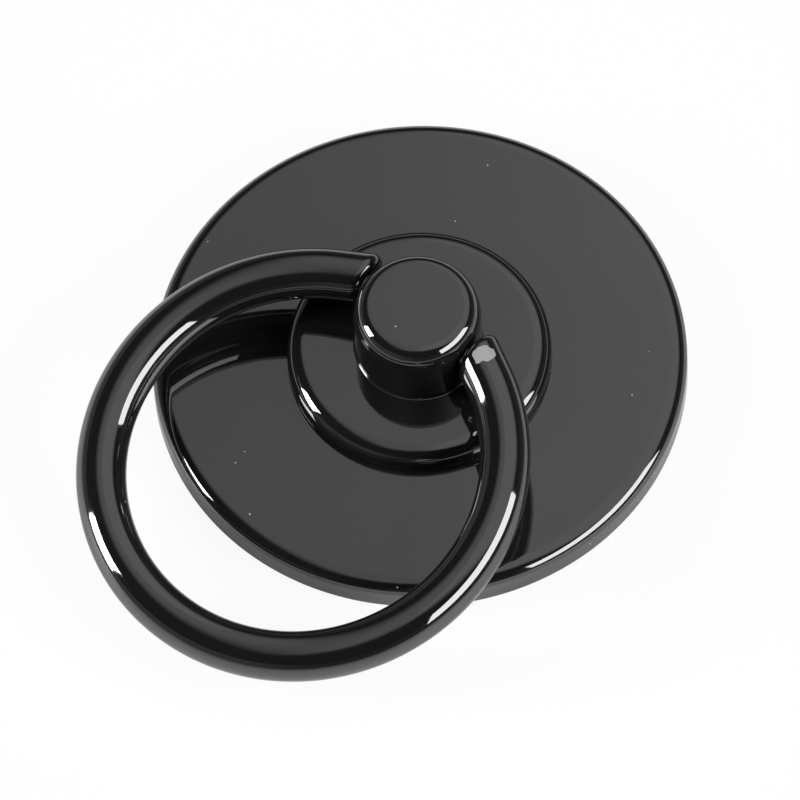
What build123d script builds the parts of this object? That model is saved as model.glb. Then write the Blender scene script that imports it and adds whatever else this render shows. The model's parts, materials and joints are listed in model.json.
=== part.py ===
from build123d import *
import math
import os

# Phone ring holder: a finger ring hinged on a short post, which swivels on a round stick-on base plate.
# Millimetres, +Z up. The origin is the centre of the adhesive face. The ring's pivot pin lies along X.
# The ring points to -Y and is turned down, with its far end just above the surface under the base.

# Adhesive pad, let into the underside of the base plate
pad_thickness = 0.8
pad_proud = 0.4             # how far the pad stands below the plate's underside
pad_edge_gap = 0.15         # pad edge to the wall of its recess

# Base plate
base_radius = 18.0
base_thickness = 2.6        # underside of the rim to the top face
base_top_round = 1.1
base_bottom_round = 0.4
rim_width = 1.2             # plate left standing around the pad
hub_web = 1.4               # floor of the hub, which the post's spigot passes through
hub_edge_round = 0.15

# Swivel disc, a shallow cap over the hub
disc_radius = 8.92
disc_height = 1.7           # top face above the plate's top face
disc_edge_round = 1.18
disc_foot_round = 0.1
disc_web = 0.6              # thickness of the cap over the hub
disc_skirt = 1.6            # thickness of the cap's side wall
skirt_gap = 0.1             # foot of the side wall above the plate
hub_gap = 0.3               # hub to the inside of the side wall

# Post
post_radius = 4.31
post_height = 5.3           # above the disc's top face
crown_width = 1.2           # soft shoulder of the post, a quarter of an ellipse
crown_depth = 2.1
post_foot_round = 0.12
spigot_radius = 2.5
tap_relief = 0.5            # tapped hole past the end of the screw

# Swivel bearing
bearing_thickness = 0.3     # plain nylon washer between the hub and the cap
bearing_inset = 0.25        # washer edge inside the hub's edge
bearing_bore_gap = 0.2      # washer bore around the spigot
running_gap = 0.03          # radial clearance of a shaft in its hole
axial_play = 0.02           # clearance between faces that turn on each other

# Spring and thrust washers and the screw that holds the post down
spring_radius = 4.4
spring_height = 0.4         # bowed washer as fitted
spring_thickness = 0.18
spring_bore_gap = 0.25      # spring bore around the spigot
spring_edge_gap = 0.3       # spring and thrust washer to the wall of their pocket
thrust_thickness = 0.35
screw_radius = 1.0
screw_hole_gap = 0.05
screw_grip = 2.6            # screw length inside the post
screw_head_radius = 2.0
screw_head_height = 0.6
screw_head_round = 0.15
slot_width = 0.5
slot_depth = 0.3

# Ring and its pivot
wire_radius = 1.7
ring_radius = 13.7          # ring centre to the middle of the wire
pivot_inset = 1.2           # pivot axis inside the far side of the ring's circle
ring_end_gap = 0.15         # cut end of the ring to the post
ring_end_round = 0.6
ring_straight = 2.0         # straight end of the bar, measured along the pivot axis
pivot_height = 2.85         # pivot axis above the disc's top face
ring_far_gap = 1.2          # far end of the ring above the surface
pin_radius = 0.8
pin_depth = 2.0             # blind hole in each end of the ring
pin_end_gap = 0.1           # end of the pin to the bottom of its hole
pin_edge_chamfer = 0.12
pin_side_gap = 0.15         # pin to the bore between the two bushes
bush_wall = 0.5
bush_length = 2.2
bush_inset = 0.1            # bush end below the post's surface

# Heights, from the adhesive face up
plate_under = pad_proud
plate_top = plate_under + base_thickness
disc_top = plate_top + disc_height
disc_ceiling = disc_top - disc_web
hub_top = disc_ceiling - bearing_thickness - axial_play
pocket_ceiling = hub_top - hub_web
thrust_top = pocket_ceiling - spring_height - 2 * axial_play
thrust_under = thrust_top - thrust_thickness
screw_under = thrust_under - screw_head_height
post_top = disc_top + post_height
pivot_z = disc_top + pivot_height

# Radii and lengths that follow from fits
recess_radius = base_radius - rim_width
pad_radius = recess_radius - pad_edge_gap
skirt_bore = disc_radius - disc_skirt
hub_radius = skirt_bore - hub_gap
hub_bore = spigot_radius + running_gap
pocket_radius = spring_radius + spring_edge_gap
bush_radius = pin_radius + running_gap + bush_wall
bush_end = math.sqrt(post_radius**2 - bush_radius**2) - bush_inset
ring_end = post_radius + ring_end_gap
ring_offset = ring_radius - pivot_inset     # ring centre to the pivot axis
pin_half_length = ring_end + pin_depth - pin_end_gap
ring_drop = pivot_z - wire_radius - ring_far_gap
ring_droop = math.degrees(math.asin(ring_drop / (ring_offset + ring_radius)))


def turned(corners, rounds=(), shoulder=None):
    """Solid turned about Z from its (radius, height) corners; rounds pairs a corner with its radius.

    A shoulder, given as a curve, joins the last corner to the first one.
    """
    if shoulder:
        outline = make_face(Polyline(*corners) + shoulder)
    else:
        outline = make_face(Polyline(*corners, close=True))
    for corner, radius in rounds:
        vertex = outline.vertices().sort_by_distance((*corner, 0))[0]
        outline = fillet(vertex, radius)
    return revolve(Plane.XZ * outline, Axis.Z)


def rod_x(radius, start, end):
    """Round rod along X between two stations, on the pivot axis."""
    return Pos((start + end) / 2, 0, pivot_z) * Rot(0, 90, 0) * Cylinder(radius, end - start)


def flat_washer(bore, radius, bottom, top):
    """Plain washer around Z."""
    return turned([(bore, bottom), (radius, bottom), (radius, top), (bore, top)])


def adhesive_pad():
    """Foam tape disc: its lower face is the one that sticks to the phone."""
    return Pos(0, 0, pad_thickness / 2) * Cylinder(pad_radius, pad_thickness)


def base_plate():
    """Round plate with a hub in the middle, a shallow recess for the pad and a pocket for the washers."""
    rim_low = (base_radius, plate_under)
    rim_high = (base_radius, plate_top)
    hub_edge = (hub_radius, hub_top)
    corners = [
        (recess_radius, plate_under),
        rim_low,
        rim_high,
        (hub_radius, plate_top),
        hub_edge,
        (hub_bore, hub_top),
        (hub_bore, pocket_ceiling),
        (pocket_radius, pocket_ceiling),
        (pocket_radius, pad_thickness),
        (recess_radius, pad_thickness),
    ]
    rounds = [(rim_low, base_bottom_round), (rim_high, base_top_round), (hub_edge, hub_edge_round)]
    return turned(corners, rounds)


def swivel_disc():
    """Cap that turns with the post: a flat top on a round-edged side wall that clears the plate."""
    foot = plate_top + skirt_gap
    edge_low = (disc_radius, foot)
    edge_high = (disc_radius, disc_top)
    corners = [
        (skirt_bore, foot),
        edge_low,
        edge_high,
        (spigot_radius, disc_top),
        (spigot_radius, disc_ceiling),
        (skirt_bore, disc_ceiling),
    ]
    return turned(corners, [(edge_low, disc_foot_round), (edge_high, disc_edge_round)])


def swivel_post():
    """Turned post on a spigot, cross-bored for the pivot pin and its bushes and tapped from below."""
    foot = (post_radius, disc_top)
    wall_top = post_top - crown_depth
    flat_radius = post_radius - crown_width
    corners = [
        (flat_radius, post_top),
        (0, post_top),
        (0, thrust_top),
        (spigot_radius, thrust_top),
        (spigot_radius, disc_top),
        foot,
        (post_radius, wall_top),
    ]
    crown = EllipticalCenterArc((flat_radius, wall_top), crown_width, crown_depth, 0, arc_size=90)
    post = turned(corners, [(foot, post_foot_round)], crown)
    post -= rod_x(pin_radius + pin_side_gap, -post_radius, post_radius)
    for side in (-1, 1):
        inner = side * (bush_end - bush_length)
        outer = side * post_radius
        post -= rod_x(bush_radius, min(inner, outer), max(inner, outer))
    tap_depth = screw_grip + tap_relief
    return post - Pos(0, 0, thrust_top + tap_depth / 2) * Cylinder(screw_radius, tap_depth)


def pivot_bush(side):
    """Friction bush pressed into one side of the post's cross bore; side is -1 or 1."""
    inner = side * (bush_end - bush_length)
    outer = side * bush_end
    span = (min(inner, outer), max(inner, outer))
    return rod_x(bush_radius, *span) - rod_x(pin_radius + running_gap, *span)


def pivot_pin():
    """Plain pin through the post, pressed into both ends of the ring."""
    pin = rod_x(pin_radius, -pin_half_length, pin_half_length)
    return chamfer(pin.edges().filter_by(GeomType.CIRCLE), pin_edge_chamfer)


def finger_ring():
    """Round bar bent to an open ring: an arc with straight ends, cut square to the pivot axis and rounded."""
    half_arc = 180 - math.degrees(math.asin((ring_end + ring_straight) / ring_radius))
    bar = Rot(0, 0, -90 - half_arc) * Torus(ring_radius, wire_radius, major_angle=2 * half_arc)
    for bend_end in bar.faces().filter_by(GeomType.PLANE):
        bar += extrude(bend_end, ring_straight + 2 * wire_radius)
    reach = ring_radius + wire_radius
    bar = Pos(0, -ring_offset, 0) * bar
    bar -= Pos(0, reach - ring_offset, 0) * Box(2 * ring_end, 2 * reach, 2 * wire_radius)
    ends = bar.faces().filter_by(GeomType.PLANE)
    bar = fillet(ends.edges(), ring_end_round)
    ring = Pos(0, 0, pivot_z) * Rot(ring_droop, 0, 0) * bar
    for side in (-1, 1):
        mouth = side * post_radius
        bottom = side * (ring_end + pin_depth)
        ring -= rod_x(pin_radius, min(mouth, bottom), max(mouth, bottom))
    return ring


def swivel_bearing():
    """Nylon washer on the hub, which the cap turns on."""
    bore = spigot_radius + bearing_bore_gap
    return flat_washer(bore, hub_radius - bearing_inset, hub_top, hub_top + bearing_thickness)


def spring_washer():
    """Washer bowed about Y: the part of a thin cylinder wall that stands over a flat washer's outline."""
    rise = spring_height - spring_thickness
    bow_radius = (spring_radius**2 + rise**2) / (2 * rise)
    crown = thrust_top + axial_play + spring_height
    width = 2 * spring_radius
    bow = Cylinder(bow_radius, width) - Cylinder(bow_radius - spring_thickness, width)
    sheet = Pos(0, 0, crown - bow_radius) * Rot(90, 0, 0) * bow
    bore = spigot_radius + spring_bore_gap
    outline = flat_washer(bore, spring_radius, thrust_top, pocket_ceiling)
    return sheet & outline


def thrust_washer():
    """Flat washer clamped between the spigot and the screw head, which the spring pushes on."""
    return flat_washer(screw_radius + screw_hole_gap, spring_radius, thrust_under, thrust_top)


def retaining_screw():
    """Low-headed screw up into the post, with a cross slot in its head."""
    head_edge = (screw_head_radius, screw_under)
    corners = [
        (0, screw_under),
        head_edge,
        (screw_head_radius, thrust_under),
        (screw_radius, thrust_under),
        (screw_radius, thrust_top + screw_grip),
        (0, thrust_top + screw_grip),
    ]
    screw = turned(corners, [(head_edge, screw_head_round)])
    slot_length = 2 * (screw_head_radius - slot_width)
    for turn in (0, 90):
        slot = Box(slot_length, slot_width, 2 * slot_depth)
        screw -= Pos(0, 0, screw_under) * Rot(0, 0, turn) * slot
    return screw


pieces = {
    "adhesive_pad": adhesive_pad(),
    "base_plate": base_plate(),
    "swivel_disc": swivel_disc(),
    "swivel_post": swivel_post(),
    "swivel_bearing": swivel_bearing(),
    "spring_washer": spring_washer(),
    "thrust_washer": thrust_washer(),
    "retaining_screw": retaining_screw(),
    "pivot_bush_left": pivot_bush(-1),
    "pivot_bush_right": pivot_bush(1),
    "pivot_pin": pivot_pin(),
    "finger_ring": finger_ring(),
}

os.makedirs("parts", exist_ok=True)
for name, solid in pieces.items():
    export_step(solid, f"parts/{name}.step")
print(f"pivot axis {pivot_z:.3f} mm up, ring turned {ring_droop:.3f} degrees below level")
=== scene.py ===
"""Phone ring holder, dressed for Blender.

A finger ring hinged on a short post, which swivels on a round stick-on plate. Each surface is a profile
carried round an axis or along the bent bar. Everything is in metres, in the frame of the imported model.
"""

import json
import math

import bpy
import numpy as np
from bpy.props import FloatProperty, FloatVectorProperty, PointerProperty
from mathutils import Matrix, Vector


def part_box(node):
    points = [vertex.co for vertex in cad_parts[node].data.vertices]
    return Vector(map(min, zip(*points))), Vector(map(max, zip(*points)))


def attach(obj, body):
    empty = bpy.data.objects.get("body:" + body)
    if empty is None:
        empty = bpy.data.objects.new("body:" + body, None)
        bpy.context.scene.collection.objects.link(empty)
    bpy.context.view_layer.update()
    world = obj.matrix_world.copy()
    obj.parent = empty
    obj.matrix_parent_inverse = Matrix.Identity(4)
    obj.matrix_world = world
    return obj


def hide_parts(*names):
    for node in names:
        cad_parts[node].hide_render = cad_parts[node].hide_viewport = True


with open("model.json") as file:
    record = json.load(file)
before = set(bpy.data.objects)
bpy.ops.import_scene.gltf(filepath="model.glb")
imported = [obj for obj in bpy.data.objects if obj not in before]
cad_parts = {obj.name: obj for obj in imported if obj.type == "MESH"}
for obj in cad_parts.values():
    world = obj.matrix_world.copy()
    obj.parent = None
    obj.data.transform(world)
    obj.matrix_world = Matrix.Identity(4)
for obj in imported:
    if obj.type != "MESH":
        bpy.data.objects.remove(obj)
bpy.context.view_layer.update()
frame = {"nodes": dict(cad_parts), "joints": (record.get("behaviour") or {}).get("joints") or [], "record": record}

bl_info = {
    "name": "Phone Ring Holder",
    "version": (1, 0, 0),
    "blender": (4, 5, 0),
    "location": "View3D > Sidebar > Ring Holder",
    "description": "Builds a gloss black phone ring holder: plate, disc, post, finger ring and foam tape",
    "category": "Add Mesh",
}

TURN_STEPS = 360
ROUND_STEPS = 16
SHARP_ANGLE = math.radians(32)
BAR_STEPS = 300
BAR_SIDES = 120
FLAT_GUARD = 0.00003
FLOOR_LEVEL = -0.00002
FLOOR_REACH = 1.5
# Middle of the painted reflection: a light grey spot on the top of the ring near its cut end, standing in for a
# bright reflection
PAINTED_REFLECTION_PLACE = (0.00565, 0.0002, 0.00925)

plate_low, plate_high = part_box("base_plate")
disc_low, disc_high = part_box("swivel_disc")
post_low, post_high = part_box("swivel_post")
pad_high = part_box("adhesive_pad")[1]
pivot = next(joint["pos_m"] for joint in frame["joints"] if joint["name"] == "ring_flip")


def length(name, description, default):
    """Property that holds one length in metres."""
    return FloatProperty(
        name=name, description=description, default=default, min=0.0, precision=6, unit="LENGTH"
    )


def angle(name, description, degrees):
    """Property that holds one angle."""
    return FloatProperty(name=name, description=description, default=math.radians(degrees), subtype="ANGLE")


def amount(name, description, default):
    """Property that holds one plain number."""
    return FloatProperty(name=name, description=description, default=default, min=0.0)


def colour(name, description, default):
    """Property that holds one linear colour."""
    return FloatVectorProperty(
        name=name, description=description, default=default, min=0.0, max=1.0, subtype="COLOR"
    )


class RingHolderSizes(bpy.types.PropertyGroup):
    """Sizes of the pieces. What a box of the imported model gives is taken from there."""

    plate_radius: length("Plate radius", "Outer radius of the base plate", plate_high[0])
    plate_under: length("Plate underside", "Height of the plate's rim above the phone", plate_low[2])
    plate_top: length("Plate top", "Height of the plate's flat top", 0.0030)
    rim_width: length("Rim width", "Width of the soft shoulder at the plate's upper edge", 0.0011)
    rim_depth: length("Rim depth", "Depth of that shoulder", 0.0009)
    plate_foot_round: length("Plate foot round", "Round of the plate's lower edge", 0.0004)
    recess_radius: length("Recess radius", "Radius of the recess that takes the foam tape", 0.0168)
    recess_top: length("Recess depth", "Height of the recess's ceiling", pad_high[2])
    hub_radius: length("Hub radius", "Radius of the raised hub under the disc", 0.00702)
    hub_top: length("Hub top", "Height of the hub that carries the swivel bearing", plate_high[2])
    hub_round: length("Hub edge round", "Round of the hub's upper edge", 0.00015)
    hub_bore: length("Hub bore", "Radius of the hole for the post's spigot", 0.00253)
    pocket_radius: length("Pocket radius", "Radius of the washer pocket under the hub", 0.0047)
    pocket_top: length("Pocket ceiling", "Height of the washer pocket's ceiling", 0.00238)
    disc_radius: length("Disc radius", "Outer radius of the swivel disc", disc_high[0])
    disc_foot: length("Disc foot", "Height of the foot of the disc's side wall", disc_low[2])
    disc_top: length("Disc top", "Height of the disc's flat top", disc_high[2])
    disc_round: length("Disc edge round", "Round of the disc's upper edge", 0.00118)
    disc_foot_round: length("Disc foot round", "Round of the disc's lower edge", 0.0001)
    disc_web: length("Disc thickness", "Thickness of the disc over the hub", 0.0006)
    skirt_bore: length("Skirt bore", "Inner radius of the disc's side wall", 0.00732)
    post_radius: length("Post radius", "Outer radius of the post", post_high[0])
    post_top: length("Post top", "Height of the post's flat top", post_high[2])
    crown_width: length("Crown width", "Width of the post's soft shoulder", 0.00112)
    crown_depth: length("Crown depth", "Depth of the post's soft shoulder", 0.0017)
    post_foot_round: length("Post foot bead", "Hollow bead of lacquer round the post's foot", 0.00013)
    spigot_radius: length("Spigot radius", "Radius of the spigot below the post", 0.0025)
    spigot_end: length("Spigot end", "Height of the spigot's lower end", post_low[2])
    tap_radius: length("Tapped hole radius", "Radius of the screw hole in the spigot", 0.001)
    tap_top: length("Tapped hole top", "Height of the screw hole's blind end", 0.00504)
    bar_radius: length("Bar radius", "Radius of the round bar that the ring is bent from", 0.0017)
    ring_radius: length("Ring radius", "Ring centre to the middle of the bar", 0.0137)
    ring_offset: length("Ring offset", "Ring centre to the pivot axis", 0.0125)
    ring_end: length("Ring end", "Cut end of the bar to the middle of the post", 0.00446)
    ring_end_round: length("Ring end round", "Round of the edge of the bar's cut ends", 0.0006)
    ring_far_gap: length("Ring gap", "Height of the ring's far side above the phone", 0.0012)
    ring_straight: length("Straight ends", "Straight end of the bar, along the pivot axis", 0.002)
    pivot_height: length("Pivot height", "Height of the ring's pivot axis", pivot[2])
    tape_radius: length("Tape radius", "Radius of the foam tape", pad_high[0])
    tape_top: length("Tape top", "Thickness of the foam tape", pad_high[2])
    tape_round: length("Tape edge round", "Round of the foam tape's cut edge", 0.00012)


class RingHolderFinish(bpy.types.PropertyGroup):
    """Colours of the finishes."""

    lacquer: colour("Lacquer", "Gloss black lacquer on the metal", (0.009, 0.009, 0.0094))
    dust: colour("Dust", "Fine dust on the lacquer", (0.42, 0.41, 0.40))
    # Colour of the painted reflection on the ring's end, standing in for a bright reflection there
    rubbed: colour("Rubbed spot", "Spot on the ring where the gloss is rubbed off", (0.33, 0.33, 0.33))
    steel: colour("Steel", "Plain steel of the pin, washers and screw", (0.55, 0.55, 0.56))
    nylon: colour("Nylon", "Natural nylon of the bushes and the bearing", (0.75, 0.74, 0.70))
    foam: colour("Foam", "Black foam tape", (0.045, 0.045, 0.047))
    floor: colour("Floor", "Plain floor under the holder", (0.92, 0.92, 0.92))


class Wire:
    """One value in a node tree. Sums, differences and products of wires add their Math nodes."""

    def __init__(self, graph, socket):
        self.graph = graph
        self.socket = socket

    def combine(self, operation, first, second):
        return self.graph.node("ShaderNodeMath", {"operation": operation}, {0: first, 1: second}, "Value")

    def __add__(self, other):
        return self.combine("ADD", self, other)

    def __radd__(self, other):
        return self.combine("ADD", other, self)

    def __rsub__(self, other):
        return self.combine("SUBTRACT", other, self)

    def __mul__(self, other):
        return self.combine("MULTIPLY", self, other)

    def __lt__(self, other):
        return self.combine("LESS_THAN", self, other)

    def __gt__(self, other):
        return self.combine("GREATER_THAN", self, other)


class Graph:
    """A node tree that is written as expressions."""

    def __init__(self, owner):
        owner.use_nodes = True
        self.tree = owner.node_tree
        self.tree.nodes.clear()

    def node(self, kind, settings, inputs, output=0):
        """Adds a node: its settings first, then the value or the wire of each socket. Gives one output."""
        made = self.tree.nodes.new(kind)
        for name, value in settings.items():
            setattr(made, name, value)
        for name, value in inputs.items():
            if isinstance(value, Wire):
                self.tree.links.new(value.socket, made.inputs[name])
            else:
                made.inputs[name].default_value = value
        return Wire(self, made.outputs[output]) if made.outputs else made

    def place(self):
        """Point on the piece, in metres."""
        return self.node("ShaderNodeTexCoord", {}, {}, "Object")

    def noise(self, scale, detail=2.0, roughness=0.5):
        """Soft noise from 0 to 1, with scale lumps to the metre."""
        sockets = {"Vector": self.place(), "Scale": scale, "Detail": detail, "Roughness": roughness}
        return self.node("ShaderNodeTexNoise", {"noise_dimensions": "3D"}, sockets, "Fac")

    def smooth(self, value, start, end):
        """Smooth step from 0 at start to 1 at end."""
        settings = {"interpolation_type": "SMOOTHSTEP"}
        sockets = {"Value": value, "From Min": start, "From Max": end}
        return self.node("ShaderNodeMapRange", settings, sockets, "Result")

    def mix(self, factor, first, second):
        """Colour between two colours."""
        sockets = {"Factor": factor, 6: first, 7: second}
        return self.node("ShaderNodeMix", {"data_type": "RGBA"}, sockets, 2)

    def bump(self, height, distance, strength=1.0):
        """Normal of a surface raised by height times distance in metres."""
        sockets = {"Height": height, "Distance": distance, "Strength": strength}
        return self.node("ShaderNodeBump", {}, sockets, "Normal")

    def dot(self, vector, axis):
        """Part of a vector along an axis."""
        sockets = {0: vector, 1: tuple(axis)}
        return self.node("ShaderNodeVectorMath", {"operation": "DOT_PRODUCT"}, sockets, "Value")

    def surface(self, sockets):
        """Principled surface to the material's output."""
        shader = self.node("ShaderNodeBsdfPrincipled", {}, sockets, "BSDF")
        self.node("ShaderNodeOutputMaterial", {}, {"Surface": shader})


def rgba(value):
    """Colour property with full alpha."""
    return (*value, 1.0)


def fresh_material(name):
    """Material of that name with an empty graph."""
    material = bpy.data.materials.new(name)
    return material, Graph(material)


def gloss_lacquer(finish):
    """Deep gloss black lacquer, with faint smears in its gloss, sparse specks of dust and one painted reflection.

    The painted reflection is a light grey, dull spot round a point on the top of the ring, close to its cut end.
    It stands in for a bright reflection there.
    """
    material, graph = fresh_material("gloss_lacquer")
    cells = graph.node(
        "ShaderNodeTexVoronoi",
        {"feature": "F1", "voronoi_dimensions": "3D"},
        {"Vector": graph.place(), "Scale": 900.0, "Randomness": 1.0},
        "Distance",
    )
    cell_colour = Wire(graph, cells.socket.node.outputs["Color"])
    lot = graph.node("ShaderNodeSeparateColor", {}, {"Color": cell_colour}, "Red")
    speck = (cells < 0.055) * (lot > 0.8)
    smear = graph.noise(120.0, 3.0, 0.55)
    peel = graph.noise(1400.0, 2.0, 0.4)
    sockets = {0: graph.place(), 1: PAINTED_REFLECTION_PLACE}
    distance = graph.node("ShaderNodeVectorMath", {"operation": "DISTANCE"}, sockets, "Value")
    # Painted reflection: a light grey, dull spot round a point near the ring's cut end stands in for a bright
    # reflection there
    spot = 1 - graph.smooth(distance + graph.noise(1500.0, 1.0) * 0.0008, 0.00105, 0.00112)
    dusty = graph.mix(speck, rgba(finish.lacquer), rgba(finish.dust))
    graph.surface(
        {
            "Base Color": graph.mix(spot, dusty, rgba(finish.rubbed)),
            "Roughness": 0.03 + smear * 0.03 + (speck + spot) * 0.4,
            "IOR": 1.9,
            "Normal": graph.bump(peel, 0.0000015),
        }
    )
    return material


def cell_foam(finish):
    """Matt closed-cell foam: fine cells of two sizes, pitted and slightly uneven in tone."""
    material, graph = fresh_material("cell_foam")
    sockets = {"Vector": graph.place(), "Scale": 5200.0, "Randomness": 1.0}
    cells = graph.node("ShaderNodeTexVoronoi", {"feature": "SMOOTH_F1"}, sockets, "Distance")
    tone = graph.noise(900.0, 4.0, 0.6)
    dark = tuple(0.55 * channel for channel in finish.foam)
    light = tuple(min(1.0, 1.5 * channel) for channel in finish.foam)
    graph.surface(
        {
            "Base Color": graph.mix(tone * 0.6 + cells * 0.4, rgba(dark), rgba(light)),
            "Roughness": 0.78 + tone * 0.18,
            "Normal": graph.bump(1.0 - cells, 0.00008),
        }
    )
    return material


def plain_steel(finish):
    """Turned steel: fine scratches of uneven gloss over a pale grey metal."""
    material, graph = fresh_material("plain_steel")
    grain = graph.noise(9000.0, 3.0, 0.6)
    stain = graph.noise(600.0, 3.0, 0.55)
    dull = tuple(0.8 * channel for channel in finish.steel)
    graph.surface(
        {
            "Base Color": graph.mix(stain, rgba(dull), rgba(finish.steel)),
            "Metallic": 1.0,
            "Roughness": 0.22 + grain * 0.14 + stain * 0.08,
            "Normal": graph.bump(grain, 0.000002),
        }
    )
    return material


def natural_nylon(finish):
    """Moulded nylon: milky, with a soft sheen and faint clouding."""
    material, graph = fresh_material("natural_nylon")
    cloud = graph.noise(700.0, 3.0, 0.5)
    skin = graph.noise(6000.0, 2.0, 0.5)
    shade = tuple(0.88 * channel for channel in finish.nylon)
    graph.surface(
        {
            "Base Color": graph.mix(cloud, rgba(shade), rgba(finish.nylon)),
            "Roughness": 0.38 + skin * 0.12,
            "Normal": graph.bump(skin, 0.000003),
        }
    )
    return material


def material_for(maker, finish):
    """The finish's material, made once and then shared by its pieces."""
    return bpy.data.materials.get(maker.__name__) or maker(finish)


def rounded(corners, closed):
    """Outline of straight runs in (radius, height), with its corners rounded.

    A corner is (radius, height, round). With unit directions a and b towards its neighbours and half angle h
    between them, a round of size q has its centre q / sin h along the bisector and turns from the run along
    a to the run along b. Each straight run gets a guard point close to each end, which keeps flats flat in
    the shading.
    """
    table = np.array(corners, float)
    places, rounds = table[:, :2], table[:, 2]
    parts = []
    for k in range(len(places)):
        ends = not closed and k in (0, len(places) - 1)
        if ends or rounds[k] == 0.0:
            parts.append(places[k : k + 1])
            continue
        a = places[k - 1] - places[k]
        b = places[(k + 1) % len(places)] - places[k]
        a, b = a / np.linalg.norm(a), b / np.linalg.norm(b)
        half = math.acos(np.clip(a @ b, -1, 1)) / 2
        centre = places[k] + (a + b) / np.linalg.norm(a + b) * rounds[k] / math.sin(half)
        start = places[k] + a * rounds[k] / math.tan(half) - centre
        end = places[k] + b * rounds[k] / math.tan(half) - centre
        parts.append(centre + bend(start, end, np.linspace(0, 1, ROUND_STEPS + 1)))
    guarded = []
    for k, part in enumerate(parts):
        guarded.append(part)
        if closed or k + 1 < len(parts):
            after = parts[(k + 1) % len(parts)][0]
            run = after - part[-1]
            reach = np.linalg.norm(run)
            if reach > 4 * FLAT_GUARD:
                step = run / reach * FLAT_GUARD
                guarded.append(np.array([part[-1] + step, after - step]))
    return np.concatenate(guarded)


def bend(start, end, share):
    """Turns start into end by equal angles: (sin((1 - t) w) start + sin(t w) end) / sin w.

    The angle between start and end is w, and t runs over the shares from 0 to 1.
    """
    cosine = (start * end).sum(-1) / (np.linalg.norm(start, axis=-1) * np.linalg.norm(end, axis=-1))
    angle = np.arccos(np.clip(cosine, -1, 1))[..., None]
    t = np.asarray(share)[:, None] if start.ndim == 1 else np.asarray(share)[:, None, None]
    return (np.sin((1 - t) * angle) * start + np.sin(t * angle) * end) / np.sin(angle)


def skin(rows, columns, closed):
    """Quads over a grid whose columns close on themselves. In a closed skin the rows do too."""
    around = np.arange(columns)
    first = np.arange(rows if closed else rows - 1)
    lower = first[:, None] * columns
    upper = ((first + 1) % rows)[:, None] * columns
    ahead = (around + 1) % columns
    corners = (lower + around, lower + ahead, upper + ahead, upper + around)
    return np.stack(corners, -1).reshape(-1, 4)


def fans(rows, columns):
    """Triangles that close both ends of a grid onto the two points that come after it."""
    around = np.arange(columns)
    ahead = (around + 1) % columns
    last = (rows - 1) * columns
    low = np.stack([np.full(columns, rows * columns), ahead, around], -1)
    high = np.stack([last + around, last + ahead, np.full(columns, rows * columns + 1)], -1)
    return np.concatenate([low, high])


def make_piece(name, points, faces, material, body, node):
    """Smooth closed mesh at the origin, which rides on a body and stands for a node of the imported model."""
    mesh = bpy.data.meshes.new(name)
    mesh.from_pydata(points.tolist(), [], faces)
    mesh.validate()
    mesh.shade_smooth()
    mesh.set_sharp_from_angle(angle=SHARP_ANGLE)
    mesh.materials.append(material)
    piece = bpy.data.objects.new(name, mesh)
    bpy.context.scene.collection.objects.link(piece)
    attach(piece, body)
    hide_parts(node)
    return piece


def turn(outline):
    """Rows of points of an outline turned about Z: (r cos t, r sin t, h) for t from 0 to a full turn."""
    angle = np.linspace(0, 2 * math.pi, TURN_STEPS, endpoint=False)
    radius, height = outline[:, :1], outline[:, 1:]
    return np.stack([radius * np.cos(angle), radius * np.sin(angle), height + 0 * angle], -1)


def turned_ring(outline):
    """Turned surface of a closed outline that keeps clear of the axis."""
    grid = turn(outline)
    return grid.reshape(-1, 3), skin(len(grid), TURN_STEPS, True).tolist()


def turned_solid(outline):
    """Turned surface of an outline that starts and ends on the axis."""
    grid = turn(outline[1:-1])
    poles = np.array([[0, 0, outline[0, 1]], [0, 0, outline[-1, 1]]])
    faces = skin(len(grid), TURN_STEPS, False).tolist() + fans(len(grid), TURN_STEPS).tolist()
    return np.concatenate([grid.reshape(-1, 3), poles]), faces


def shoulder(flat, wall_top, width, depth):
    """Quarter of an ellipse from a wall to a flat: (f + a cos t, h + b sin t) for t from 0 to a right angle.

    The flat's radius is f and the wall's height h, the shoulder's width a and its depth b.
    """
    t = np.linspace(0, math.pi / 2, 2 * ROUND_STEPS + 1)[1:]
    return np.stack([flat + width * np.cos(t), wall_top + depth * np.sin(t)], -1)


def plate_surface(s):
    """Plate with its soft rim, the hub under the disc, the recess for the tape and the washer pocket."""
    flat, wall_top = s.plate_radius - s.rim_width, s.plate_top - s.rim_depth
    side = [
        (s.recess_radius, s.plate_under, 0),
        (s.plate_radius, s.plate_under, s.plate_foot_round),
        (s.plate_radius, wall_top, 0),
    ]
    rest = [
        (flat - FLAT_GUARD, s.plate_top, 0),
        (s.hub_radius, s.plate_top, 0),
        (s.hub_radius, s.hub_top, s.hub_round),
        (s.hub_bore, s.hub_top, 0),
        (s.hub_bore, s.pocket_top, 0),
        (s.pocket_radius, s.pocket_top, 0),
        (s.pocket_radius, s.recess_top, 0),
        (s.recess_radius, s.recess_top, 0),
    ]
    rim = shoulder(flat, wall_top, s.rim_width, s.rim_depth)
    return turned_ring(np.concatenate([rounded(side, False), rim, rounded(rest, False)]))


def disc_surface(s):
    """Shallow cap: a flat top with a rounded edge, a side wall and the hollow that clears the hub."""
    ceiling = s.disc_top - s.disc_web
    corners = [
        (s.skirt_bore, s.disc_foot, 0),
        (s.disc_radius, s.disc_foot, s.disc_foot_round),
        (s.disc_radius, s.disc_top, s.disc_round),
        (s.spigot_radius, s.disc_top, 0),
        (s.spigot_radius, ceiling, 0),
        (s.skirt_bore, ceiling, 0),
    ]
    return turned_ring(rounded(corners, True))


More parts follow.
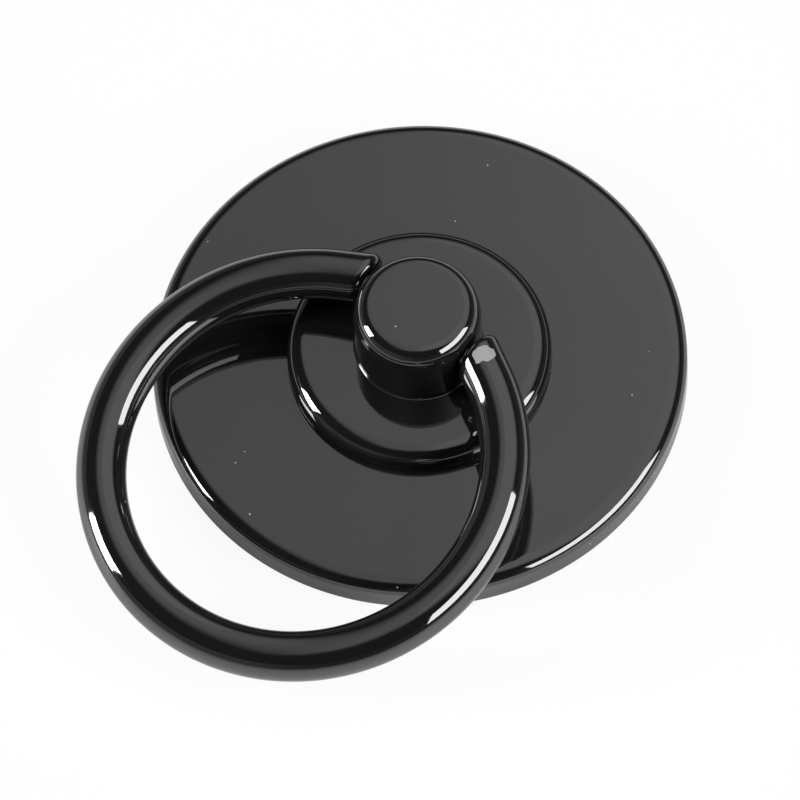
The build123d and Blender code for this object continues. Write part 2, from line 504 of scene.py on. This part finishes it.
def post_surface(s):
    """Post with a soft shoulder, on a thinner spigot that has a blind screw hole from below.

    At the foot the lacquer makes a hollow quarter round, (w + q - q sin t, d + q - q cos t), with the wall's
    radius w, the disc's height d and the bead's size q.
    """
    flat, wall_top = s.post_radius - s.crown_width, s.post_top - s.crown_depth
    bead_radius, bead_height = s.post_radius + s.post_foot_round, s.disc_top + s.post_foot_round
    corners = [
        (0, s.tap_top, 0),
        (s.tap_radius, s.tap_top, 0),
        (s.tap_radius, s.spigot_end, 0),
        (s.spigot_radius, s.spigot_end, 0),
        (s.spigot_radius, s.disc_top, 0),
        (bead_radius, s.disc_top, 0),
    ]
    t = np.linspace(0, math.pi / 2, 2 * ROUND_STEPS + 1)[1:]
    bead = np.array([bead_radius, bead_height]) - s.post_foot_round * np.stack([np.sin(t), np.cos(t)], -1)
    wall = np.array([(s.post_radius, bead_height + FLAT_GUARD), (s.post_radius, wall_top - FLAT_GUARD)])
    crown = shoulder(flat, wall_top, s.crown_width, s.crown_depth)
    top = np.array([(flat - FLAT_GUARD, s.post_top), (0, s.post_top)])
    return turned_solid(np.concatenate([rounded(corners, False), bead, wall, crown, top]))


def tape_surface(s):
    """Foam tape: a flat round with softened edges."""
    corners = [
        (0, 0, 0),
        (s.tape_radius, 0, s.tape_round),
        (s.tape_radius, s.tape_top, s.tape_round),
        (0, s.tape_top, 0),
    ]
    return turned_solid(rounded(corners, False))


def ring_surface(s):
    """Open ring of round bar, turned down until its far side is just above the phone.

    In the ring's own plane the middle of the bar is (R sin p, -o - R cos p), p from -e to e, with straight
    ends along the tangents. Round the bar the surface is that middle plus w (cos t out + sin t up). Each cut
    end lies square to the pivot axis. Its round is the path of a ball of radius q that rolls inside the bar
    along the cut: its middle is q from both, and the round turns about it from the bar's normal to the cut's.
    """
    w, q = s.bar_radius, s.ring_end_round
    half = math.pi - math.asin((s.ring_end + s.ring_straight) / s.ring_radius)
    p = np.linspace(-half, half, BAR_STEPS + 1)[:, None]
    t = np.linspace(0, 2 * math.pi, BAR_SIDES, endpoint=False)[None, :]
    normal = np.stack([np.sin(p) * np.cos(t), -np.cos(p) * np.cos(t), np.sin(t) + 0 * p], -1)
    middle = np.stack([s.ring_radius * np.sin(p), -s.ring_offset - s.ring_radius * np.cos(p), 0 * p], -1)
    bar = middle + w * normal
    share = np.linspace(0, 1, ROUND_STEPS + 1)
    caps, centres = [], []
    for side, row in ((-1, 0), (1, -1)):
        along = side * np.array([math.cos(half), math.sin(half) * side, 0])
        ball = middle[row] + (w - q) * normal[row]
        reach = (side * (s.ring_end + q) - ball[:, :1]) / along[0]
        ball = ball + reach * along
        cut = np.broadcast_to([-side, 0.0, 0.0], ball.shape)
        turn_in = ball + q * bend(normal[row], cut, share)
        run = bar[row] + (turn_in[0] - bar[row]) * np.array([0.3, 0.6, 0.97])[:, None, None]
        core = turn_in[-1].mean(0)
        inside = core + (turn_in[-1] - core) * np.array([0.98, 0.5])[:, None, None]
        caps.append(np.concatenate([run, turn_in, inside]))
        centres.append(core)
    grid = np.concatenate([caps[0][::-1], bar, caps[1]])
    rows, columns = grid.shape[:2]
    points = np.concatenate([grid.reshape(-1, 3), np.array(centres)])
    droop = math.asin((s.pivot_height - w - s.ring_far_gap) / (s.ring_offset + s.ring_radius))
    lie = np.array(Matrix.Rotation(droop, 3, "X"))
    faces = skin(rows, columns, False).tolist() + fans(rows, columns).tolist()
    return points @ lie.T + [0, 0, s.pivot_height], faces


class PieceOperator:
    """What the operators of the turned and bent pieces share."""

    bl_options = {"REGISTER", "UNDO"}

    def build(self, context, name, shape, finish, body, node):
        maker, slot = finish
        material = material_for(maker, context.scene.ring_holder_finish)
        points, faces = shape(context.scene.ring_holder_sizes)
        return make_piece(name, points, faces, material, body, node)

    def lacquered(self, context, name, shape, body, node):
        return self.build(context, name, shape, (gloss_lacquer, "black_lacquer"), body, node)


class RINGHOLDER_OT_plate(PieceOperator, bpy.types.Operator):
    """Add the lacquered base plate"""

    bl_idname = "ring_holder.plate"
    bl_label = "Base Plate"

    def execute(self, context):
        self.lacquered(context, "lacquered_plate", plate_surface, "base", "base_plate")
        return {"FINISHED"}


class RINGHOLDER_OT_tape(PieceOperator, bpy.types.Operator):
    """Add the foam tape under the plate"""

    bl_idname = "ring_holder.tape"
    bl_label = "Foam Tape"

    def execute(self, context):
        finish = (cell_foam, "foam_tape")
        tape = self.build(context, "stick_on_tape", tape_surface, finish, "base", "adhesive_pad")
        return {"FINISHED"}


class RINGHOLDER_OT_turret(PieceOperator, bpy.types.Operator):
    """Add the swivel disc and the post"""

    bl_idname = "ring_holder.turret"
    bl_label = "Swivel Disc and Post"

    def execute(self, context):
        self.lacquered(context, "lacquered_disc", disc_surface, "swivel", "swivel_disc")
        self.lacquered(context, "lacquered_post", post_surface, "swivel", "swivel_post")
        return {"FINISHED"}


class RINGHOLDER_OT_ring(PieceOperator, bpy.types.Operator):
    """Add the finger ring"""

    bl_idname = "ring_holder.ring"
    bl_label = "Finger Ring"

    def execute(self, context):
        self.lacquered(context, "lacquered_ring", ring_surface, "ring", "finger_ring")
        return {"FINISHED"}


class RINGHOLDER_OT_fittings(bpy.types.Operator):
    """Finish the pin, bushes, washers and screw inside the holder"""

    bl_idname = "ring_holder.fittings"
    bl_label = "Inner Fittings"
    bl_options = {"REGISTER", "UNDO"}

    def execute(self, context):
        finish = context.scene.ring_holder_finish
        makers = {"steel": plain_steel, "nylon": natural_nylon}
        for row in frame["record"]["subparts"]:
            maker = makers.get(row["material_slot"])
            if maker:
                frame["nodes"][row["node"]].material_slots[0].material = material_for(maker, finish)
        return {"FINISHED"}


class RingHolderStage(bpy.types.PropertyGroup):
    """Camera and light."""

    azimuth: angle("Azimuth", "Camera round the holder", 42.031)
    elevation: angle("Elevation", "Camera above the floor", 61.371)
    roll: angle("Roll", "Camera about its own line of sight", -3.408)
    distance: length("Distance", "Camera to the point that it aims at", 2.1897)
    view_width: length("View width", "Width of the picture at the point aimed at", 0.0538607)
    aim: FloatVectorProperty(
        name="Aim",
        description="Point in the middle of the picture",
        default=(0.000057, -0.002302, 0.0),
        precision=6,
        subtype="TRANSLATION",
    )
    key_radiance: amount("Key light", "Brightness of the large soft box", 6.5)
    strip_radiance: amount("Strip light", "Brightness of the narrow soft box", 22.0)
    room_radiance: amount("Room", "Brightness of the dark room", 0.06)
    wall_radiance: amount("Wall", "Added brightness of the left wall", 0.16)
    roof_radiance: amount("Roof", "Brightness of the card overhead", 0.57)
    roof_gain: amount("Roof gain", "Added share on the card's right side", 0.4)
    floor_white: amount("Floor to the camera", "Share of plain white that the camera sees", 0.93)
    floor_glow: amount("Floor in reflections", "Share of plain white that reflections see", 0.15)
    # Share of the painted shade on the far floor, which stands in for light falling off
    floor_far: amount("Far floor", "Brightness of the far floor against the near one", 0.35)
    roof_height: length("Roof height", "Height of the card overhead", 0.35)


def stage_axes(stage):
    """Right, away from the camera and up, with the camera's azimuth."""
    c, s = math.cos(stage.azimuth), math.sin(stage.azimuth)
    return Vector((c, s, 0)), Vector((-s, c, 0)), Vector((0, 0, 1))


def add_camera(stage):
    """Camera on the photograph's line of sight, at the photograph's scale."""
    right, away, upright = stage_axes(stage)
    back = upright * math.sin(stage.elevation) - away * math.cos(stage.elevation)
    above = back.cross(right)
    across = right * math.cos(stage.roll) + above * math.sin(stage.roll)
    lift = above * math.cos(stage.roll) - right * math.sin(stage.roll)
    camera = bpy.data.objects.new("camera", bpy.data.cameras.new("camera"))
    bpy.context.scene.collection.objects.link(camera)
    turn_to = Matrix((across, lift, back)).transposed().to_4x4()
    camera.matrix_world = Matrix.Translation(Vector(stage.aim) + back * stage.distance) @ turn_to
    camera.data.sensor_width = 36.0
    camera.data.lens = camera.data.sensor_width * stage.distance / stage.view_width
    camera.data.clip_start, camera.data.clip_end = 0.1, 10.0
    bpy.context.scene.camera = camera


def add_softbox(name, stage, centre, facing, width, height, radiance):
    """Rectangular lamp, with its centre and facing as (right, away, up). Its power is 4 area radiance."""
    axes = stage_axes(stage)
    spot = sum((axis * part for axis, part in zip(axes, centre)), Vector())
    look = sum((axis * part for axis, part in zip(axes, facing)), Vector())
    data = bpy.data.lights.new(name, "AREA")
    data.shape = "RECTANGLE"
    data.size, data.size_y = width, height
    data.energy = 4.0 * width * height * radiance
    lamp = bpy.data.objects.new(name, data)
    bpy.context.scene.collection.objects.link(lamp)
    lamp.matrix_world = Matrix.Translation(spot) @ look.to_track_quat("-Z", "Y").to_matrix().to_4x4()
    lamp.visible_camera = False


def light_room(stage):
    """Dark room with a paler wall on the left."""
    world = bpy.data.worlds.new("studio")
    bpy.context.scene.world = world
    graph = Graph(world)
    direction = graph.node("ShaderNodeTexCoord", {}, {}, "Generated")
    leftward = graph.dot(direction, -stage_axes(stage)[0])
    strength = stage.room_radiance + graph.smooth(leftward, 0.1, 0.6) * stage.wall_radiance
    light = graph.node("ShaderNodeBackground", {}, {"Strength": strength}, "Background")
    graph.node("ShaderNodeOutputWorld", {}, {"Surface": light})


def add_sheet(name, half, level, material):
    """Square stage sheet at a level, half to each side of the holder's axis."""
    mesh = bpy.data.meshes.new(name)
    corners = [(-half, -half, level), (half, -half, level), (half, half, level), (-half, half, level)]
    mesh.from_pydata(corners, [], [(0, 1, 2, 3)])
    mesh.materials.append(material)
    sheet = bpy.data.objects.new(name, mesh)
    bpy.context.scene.collection.objects.link(sheet)
    return sheet


def add_roof(stage):
    """Large soft-edged light card overhead, brighter on its right side.

    A place on the card is taken as slopes p to the right and q away, for one step up from the holder. The
    light fills a rectangle of slopes with smooth edges.
    """
    material, graph = fresh_material("roof_card")
    right, away, _ = stage_axes(stage)
    p = graph.dot(graph.place(), right / stage.roof_height)
    q = graph.dot(graph.place(), away / stage.roof_height)
    across = graph.smooth(p, -0.55, -0.15) * (1 - graph.smooth(p, 0.9, 1.6))
    along = graph.smooth(q, -0.6, -0.25) * (1 - graph.smooth(q, 0.8, 2.4))
    gain = 1 + graph.smooth(p, -0.05, 0.09) * stage.roof_gain
    strength = across * along * gain * stage.roof_radiance
    light = graph.node("ShaderNodeEmission", {}, {"Strength": strength}, "Emission")
    graph.node("ShaderNodeOutputMaterial", {}, {"Surface": light})
    roof = add_sheet("roof_card", 2.6 * stage.roof_height, stage.roof_height, material)
    roof.visible_camera = False


def add_floor(stage, finish):
    """Plain white floor, just clear of the tape's lower face.

    The camera sees it as white with a faint shadow. Reflections see the light that falls on it, with a little
    white added, and there its colour is painted darker away from the holder: painted shade that stands in for
    light falling off.
    """
    material, graph = fresh_material("floor")
    distance = graph.node("ShaderNodeVectorMath", {"operation": "LENGTH"}, {0: graph.place()}, "Value")
    # Painted shade: the floor's colour turns grey from 3 to 8 cm out, standing in for light falling off away from
    # the holder
    grey = tuple(stage.floor_far * channel for channel in finish.floor)
    painted_falloff_colour = graph.mix(graph.smooth(distance, 0.03, 0.08), rgba(finish.floor), rgba(grey))
    lit = graph.node("ShaderNodeBsdfPrincipled", {}, {"Base Color": painted_falloff_colour, "Roughness": 0.6}, "BSDF")
    white = graph.node("ShaderNodeEmission", {}, {"Strength": 1.0}, "Emission")
    rays = graph.node("ShaderNodeLightPath", {}, {}, "Is Camera Ray")
    glossy = Wire(graph, rays.socket.node.outputs["Is Glossy Ray"])
    through = Wire(graph, rays.socket.node.outputs["Is Transmission Ray"])
    seen = rays * stage.floor_white + (glossy + through) * stage.floor_glow
    floor = graph.node("ShaderNodeMixShader", {}, {0: seen, 1: lit, 2: white}, "Shader")
    graph.node("ShaderNodeOutputMaterial", {}, {"Surface": floor})
    add_sheet("floor", FLOOR_REACH, FLOOR_LEVEL, material)


class RINGHOLDER_OT_stage(bpy.types.Operator):
    """Add the floor, the lights and the camera"""

    bl_idname = "ring_holder.stage"
    bl_label = "Stage"
    bl_options = {"REGISTER", "UNDO"}

    def execute(self, context):
        stage, finish = context.scene.ring_holder_stage, context.scene.ring_holder_finish
        context.scene.view_settings.view_transform = "Standard"
        add_camera(stage)
        add_floor(stage, finish)
        light_room(stage)
        add_roof(stage)
        key_place, key_facing = (0.258, -0.169, 0.178), (-0.94, 0.342, 0)
        add_softbox("key_box", stage, key_place, key_facing, 0.327, 0.18, stage.key_radiance)
        strip_place, strip_facing = (-0.30, 0, 0.123), (1, 0, 0)
        add_softbox("strip_box", stage, strip_place, strip_facing, 0.085, 0.16, stage.strip_radiance)
        return {"FINISHED"}


class RINGHOLDER_PT_panel(bpy.types.Panel):
    """Lists the pieces and the sizes"""

    bl_idname = "RINGHOLDER_PT_panel"
    bl_label = "Ring Holder"
    bl_space_type = "VIEW_3D"
    bl_region_type = "UI"
    bl_category = "Ring Holder"

    def draw(self, context):
        column = self.layout.column(align=True)
        for operator in operators:
            column.operator(operator.bl_idname)
        for group in ("ring_holder_sizes", "ring_holder_finish", "ring_holder_stage"):
            values = getattr(context.scene, group)
            box = self.layout.box()
            for name in values.__annotations__:
                box.prop(values, name)


operators = (
    RINGHOLDER_OT_plate,
    RINGHOLDER_OT_tape,
    RINGHOLDER_OT_turret,
    RINGHOLDER_OT_ring,
    RINGHOLDER_OT_fittings,
    RINGHOLDER_OT_stage,
)
classes = (RingHolderSizes, RingHolderFinish, RingHolderStage, *operators, RINGHOLDER_PT_panel)


def register():
    for item in classes:
        bpy.utils.register_class(item)
    bpy.types.Scene.ring_holder_sizes = PointerProperty(type=RingHolderSizes)
    bpy.types.Scene.ring_holder_finish = PointerProperty(type=RingHolderFinish)
    bpy.types.Scene.ring_holder_stage = PointerProperty(type=RingHolderStage)


def unregister():
    del bpy.types.Scene.ring_holder_stage
    del bpy.types.Scene.ring_holder_finish
    del bpy.types.Scene.ring_holder_sizes
    for item in reversed(classes):
        bpy.utils.unregister_class(item)


def main():
    register()
    bpy.ops.ring_holder.plate()
    bpy.ops.ring_holder.tape()
    bpy.ops.ring_holder.turret()
    bpy.ops.ring_holder.ring()
    bpy.ops.ring_holder.fittings()
    bpy.ops.ring_holder.stage()


if __name__ == "__main__":
    main()
